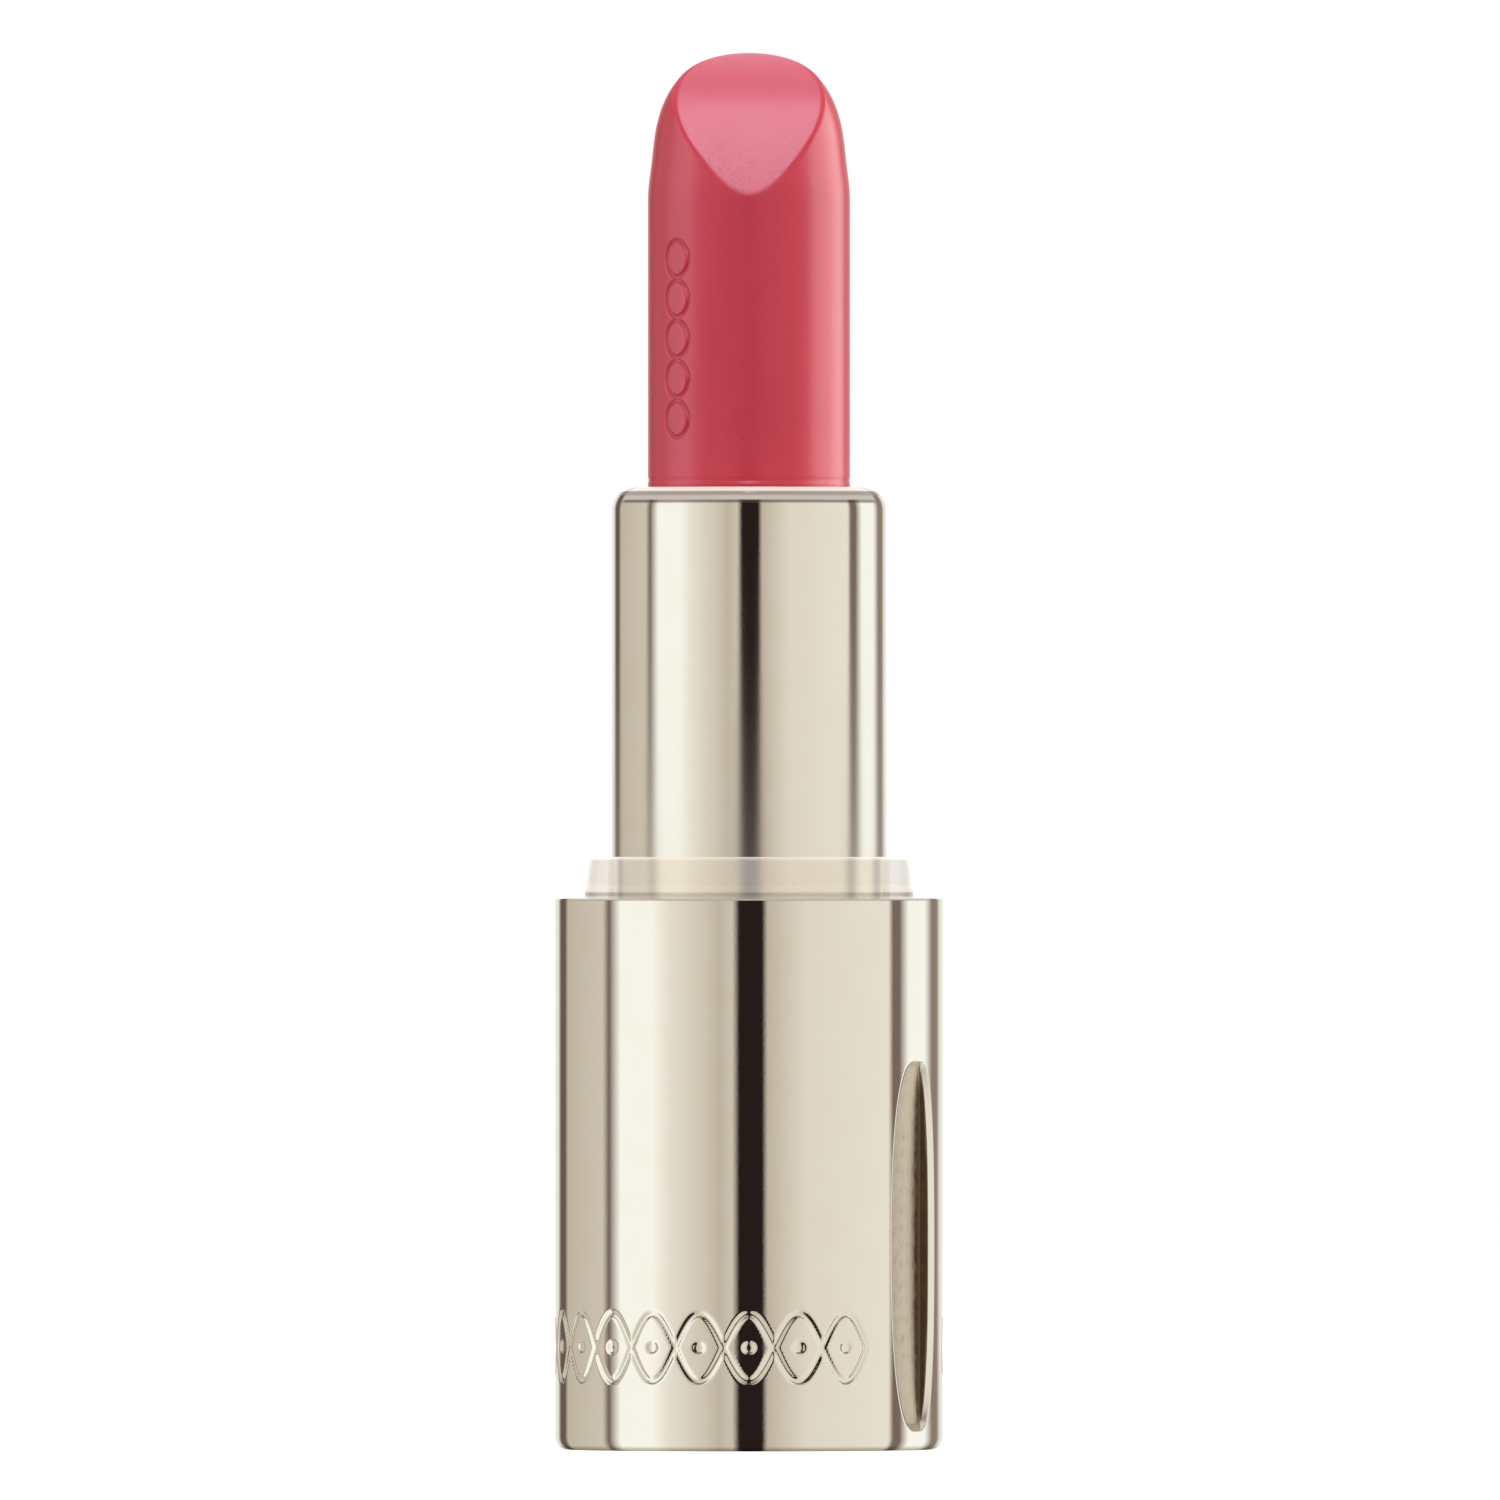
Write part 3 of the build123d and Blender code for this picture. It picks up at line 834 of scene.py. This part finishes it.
def pink_pomade(name):
    """Moulded wax: shallow scattering, faint flow marks and a satin bloom."""
    made, s = material(name)
    place_on = s.object_place()
    flow = s.node("ShaderNodeMapping", {"Vector": place_on, "Scale": (1, 1, 0.25)}).outputs[0]
    streak = s.noise(flow, 500, detail=3, roughness=0.5)
    grain = s.noise(place_on, 4200, detail=3, roughness=0.6)
    tone = s.mix(s.span(streak, 0.3, 0.7), *WAX)
    height = s.math("ADD", s.math("MULTIPLY", streak, 0.3), s.math("MULTIPLY", grain, 0.3))
    bump = s.bump(height, 0.1, FINE_GRAIN)
    principled = s.node(
        "ShaderNodeBsdfPrincipled",
        {
            "Base Color": tone,
            "Roughness": s.span(grain, 0.2, 0.8, 0.27, 0.33),
            "IOR": 1.45,
            "Specular IOR Level": 0.65,
            "Subsurface Weight": 0.2,
            "Subsurface Radius": (1.0, 0.3, 0.25),
            "Subsurface Scale": 0.0006,
            "Normal": bump,
        },
    )
    s.finish(principled.outputs["BSDF"])
    return made


def moulded_plastic(name, dark, light, roughness, scale=1800.0, translucent=0.0):
    """Natural moulded resin: slight clouding and a fine tool-mark grain."""
    made, s = material(name)
    place_on = s.object_place()
    cloud = s.noise(place_on, 300, detail=3)
    grain = s.noise(place_on, scale, detail=4, roughness=0.65)
    tone = s.mix(s.span(cloud, 0.3, 0.7), (*dark, 1), (*light, 1))
    bump = s.bump(grain, 0.3, COARSE_GRAIN)
    principled = s.node(
        "ShaderNodeBsdfPrincipled",
        {
            "Base Color": tone,
            "Roughness": s.span(grain, 0.2, 0.8, roughness - 0.06, roughness + 0.06),
            "Subsurface Weight": translucent,
            "Subsurface Radius": (1.0, 0.9, 0.7),
            "Subsurface Scale": 0.001,
            "Normal": bump,
        },
    )
    s.finish(principled.outputs["BSDF"])
    return made


metal = champagne_metal("champagne_plating", 0.03, True)
aluminium = champagne_metal("champagne_anodised", 0.04, False)
frost = frosted_plastic("frosted_collar")
wax = pink_pomade("pink_wax")
resin = moulded_plastic("natural_resin", (0.78, 0.76, 0.71), (0.86, 0.84, 0.80), 0.42, translucent=0.25)
film = moulded_plastic("label_film", (0.74, 0.71, 0.66), (0.80, 0.78, 0.73), 0.38, scale=5200.0)
rubber = moulded_plastic("black_elastomer", (0.018, 0.018, 0.02), (0.035, 0.034, 0.034), 0.6, scale=3400.0)

place(make_base_shell(), "base", "champagne_metal", metal, "base_shell")
place(make_liner(), "base", "frosted_plastic", frost, "base_liner")
place(make_sleeve(), "turning_sleeve", "champagne_aluminium", aluminium, "sleeve")
bullet = make_bullet()
place(bullet, "carrier", "pink_pomade", wax, "bullet")

for node, kept in {
    "base_label": film,
    "refill_label": film,
    "refill_foot": resin,
    "inner_body": resin,
    "spiral_cam": resin,
    "cup": resin,
    "brake_ring": rubber,
}.items():
    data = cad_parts[node].data
    data.materials.clear()
    data.materials.append(kept)


# --- Studio: floor, surroundings and lamps ----------------------------------------------------------

FLOOR_SIZE = 3.0
PAPER = (0.9, 0.9, 0.9, 1)
PAPER_GLOW = 0.75  # keeps the floor as pale as the background

# how bright the parts of the room are that polished metal mirrors, from 0 for black to 1 for white
DRAPE = 0.14  # behind the camera
DOORWAY = 0.40
POST = 0.46
CUPBOARD = 0.54
WALL_DIM = 0.75
WALL = 0.80
WALL_BRIGHT = 0.87
WALL_LIT = 0.90
WINDOW = 0.97
GREEN_LOSS = 0.25  # the dimmer a panel, the warmer it is: it loses this share of its shade in green,
BLUE_LOSS = 0.31  # and this share of its shade's square root in blue

# the room's upright panels: first and last azimuth in degrees, 0 at the camera and rising to its
# right, then the brightness at each; what lies between two panels is a soft edge
LEFT_ROOM = (
    (-180, -160, WALL_LIT, WALL_LIT),
    (-152, -143, DOORWAY, DOORWAY),
    (-138, -98, WALL_DIM, WALL),
    (-93, -92, POST, POST),
    (-83, -60, WINDOW, WINDOW),
    (-50, -25, WALL_LIT, WALL),
    (-18, -10, WALL_DIM, WALL),
    (-6, 0, DRAPE, DRAPE),
)
RIGHT_ROOM = (
    (0, 8, DRAPE, DRAPE),
    (11, 20, WALL_DIM, WALL),
    (35, 92, WALL_BRIGHT, WALL_LIT),
    (96, 102, POST, POST),
    (111, 130, WINDOW, WINDOW),
    (141, 151, CUPBOARD, CUPBOARD),
    (160, 180, WALL_LIT, WALL_LIT),
)
OVERHEAD = (200, 190, 182)
MOULDING = (80, 70, 52)
TABLE_SHADE = (0.5, 0.45, 0.38, 1)
AMBIENT = (0.46, 0.45, 0.45, 1)


def panel_light(brightness):
    """What a panel sends out, so that it has this brightness in the champagne metal."""
    shade = 1 - brightness
    seen = brightness * np.array((1, 1 - GREEN_LOSS * shade, 1 - BLUE_LOSS * shade**0.5))
    return rgba(linear(*(255 * seen)) / np.array(CHAMPAGNE))


def room_stops(panels, start):
    edges = []
    for first, last, first_tone, last_tone in panels:
        edges += [(first, first_tone), (last, last_tone)]
    return [((azimuth - start) / 180, panel_light(tone)) for azimuth, tone in edges]


def make_world():
    world = bpy.data.worlds.new("studio")
    world.use_nodes = True
    world.cycles.sampling_method = "NONE"
    bpy.context.scene.world = world
    s = Shader(world.node_tree)
    split = s.node("ShaderNodeSeparateXYZ", {0: s.node("ShaderNodeTexCoord").outputs["Generated"]})
    x, y, z = split.outputs
    # the room bends with height so that its upright panels stay upright in the case's rounded edges
    depth = s.math("SUBTRACT", 1.0, y)
    azimuth = s.math("MULTIPLY", s.math("ARCTAN2", x, depth), 2 / pi)
    twice = s.math("MAXIMUM", s.math("MULTIPLY", depth, 2.0), 0.0001)
    rise = s.math("DIVIDE", z, s.math("SQRT", twice))
    left = s.ramp(s.math("ADD", azimuth, 1.0), room_stops(LEFT_ROOM, -180))
    right = s.ramp(azimuth, room_stops(RIGHT_ROOM, 0))
    around = s.mix(s.math("GREATER_THAN", azimuth, 0.0), left, right)
    # a dark moulding under the ceiling, then the grey ceiling itself
    beside = s.span(s.math("ABSOLUTE", azimuth), 0.80, 0.72)
    ceiling = s.math("MULTIPLY", s.span(rise, 0.40, 0.48), beside)
    around = s.mix(ceiling, around, rgba(linear(*OVERHEAD) / np.array(CHAMPAGNE)))
    moulding = s.math("MULTIPLY", s.span(rise, 0.28, 0.36), s.span(rise, 0.48, 0.42))
    around = s.mix(s.product(moulding, 0.7, beside), around, rgba(linear(*MOULDING)))
    table = s.mix(1.0, around, TABLE_SHADE, blend="MULTIPLY")
    around = s.mix(s.span(rise, -0.55, -0.95), around, table)
    path = s.node("ShaderNodeLightPath")
    seen = s.mix(path.outputs["Is Glossy Ray"], AMBIENT, around)
    seen = s.mix(path.outputs["Is Camera Ray"], seen, (1, 1, 1, 1))
    s.finish(s.node("ShaderNodeBackground", {"Color": seen}).outputs[0], "ShaderNodeOutputWorld")


def make_floor():
    mesh = bpy.data.meshes.new("floor")
    corner = FLOOR_SIZE / 2
    corners = [(-corner, -corner, 0), (corner, -corner, 0), (corner, corner, 0), (-corner, corner, 0)]
    mesh.from_pydata(corners, [], [(0, 1, 2, 3)])
    floor = bpy.data.objects.new("floor", mesh)
    bpy.context.scene.collection.objects.link(floor)
    floor.visible_glossy = False
    floor.visible_transmission = False
    made, s = material("pale_floor")
    camera_ray = s.node("ShaderNodeLightPath").outputs["Is Camera Ray"]
    paper = s.node("ShaderNodeBsdfDiffuse", {"Color": PAPER}).outputs[0]
    glow = s.node("ShaderNodeEmission", {"Strength": s.math("MULTIPLY", camera_ray, PAPER_GLOW)}).outputs[0]
    s.finish(s.node("ShaderNodeAddShader", {0: paper, 1: glow}).outputs[0])
    mesh.materials.append(made)


AIM_HEIGHT = 0.07
LAMP_DISTANCE = 0.5
COOL = (0.84, 0.84, 1.0)
SKY = (0.73, 0.80, 1.0)


def make_lamp(name, azimuth, elevation, size, power, tint=(1, 1, 1)):
    """A softbox aimed at the case. It lights the wax and the plain nodes; the metal mirrors the room."""
    lamp = bpy.data.lights.new(name, "AREA")
    lamp.shape = "RECTANGLE"
    lamp.size, lamp.size_y = size
    lamp.energy = power
    lamp.color = tint
    obj = bpy.data.objects.new(name, lamp)
    bpy.context.scene.collection.objects.link(obj)
    level = LAMP_DISTANCE * cos(radians(elevation))
    height = AIM_HEIGHT + LAMP_DISTANCE * sin(radians(elevation))
    obj.location = (level * sin(radians(azimuth)), -level * cos(radians(azimuth)), height)
    obj.rotation_euler = (radians(90 - elevation), 0, radians(azimuth))
    obj.visible_camera = False
    obj.light_linking.receiver_collection = lit


lit = bpy.data.collections.new("lit_by_lamps")
lit.objects.link(bullet)
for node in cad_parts.values():
    lit.objects.link(node)

make_world()
make_floor()
make_lamp("right_softbox", 105, 5, (0.55, 0.6), 2.9)
make_lamp("left_softbox", -85, 5, (0.35, 0.6), 0.9, COOL)
make_lamp("top_softbox", 0, 53, (0.085, 0.85), 2.15, SKY)
make_lamp("back_softbox", 180, 60, (0.1, 0.5), 0.28, SKY)

# --- Camera: level, from far in front ---------------------------------------------------------------

LENS = 1500.0
SENSOR = 36.0
VIEW_HEIGHT = 0.08985  # of the scene at the object
VIEW_X, VIEW_Z = 0.00006, 0.0419  # the picture's centre

camera_data = bpy.data.cameras.new("camera")
camera_data.lens = LENS
camera_data.sensor_width = SENSOR
camera_data.clip_end = 50.0
camera = bpy.data.objects.new("camera", camera_data)
camera.location = (VIEW_X, -VIEW_HEIGHT * LENS / SENSOR, VIEW_Z)
camera.rotation_euler = (pi / 2, 0, 0)
bpy.context.scene.collection.objects.link(camera)
bpy.context.scene.camera = camera
bpy.context.scene.view_settings.view_transform = "Standard"
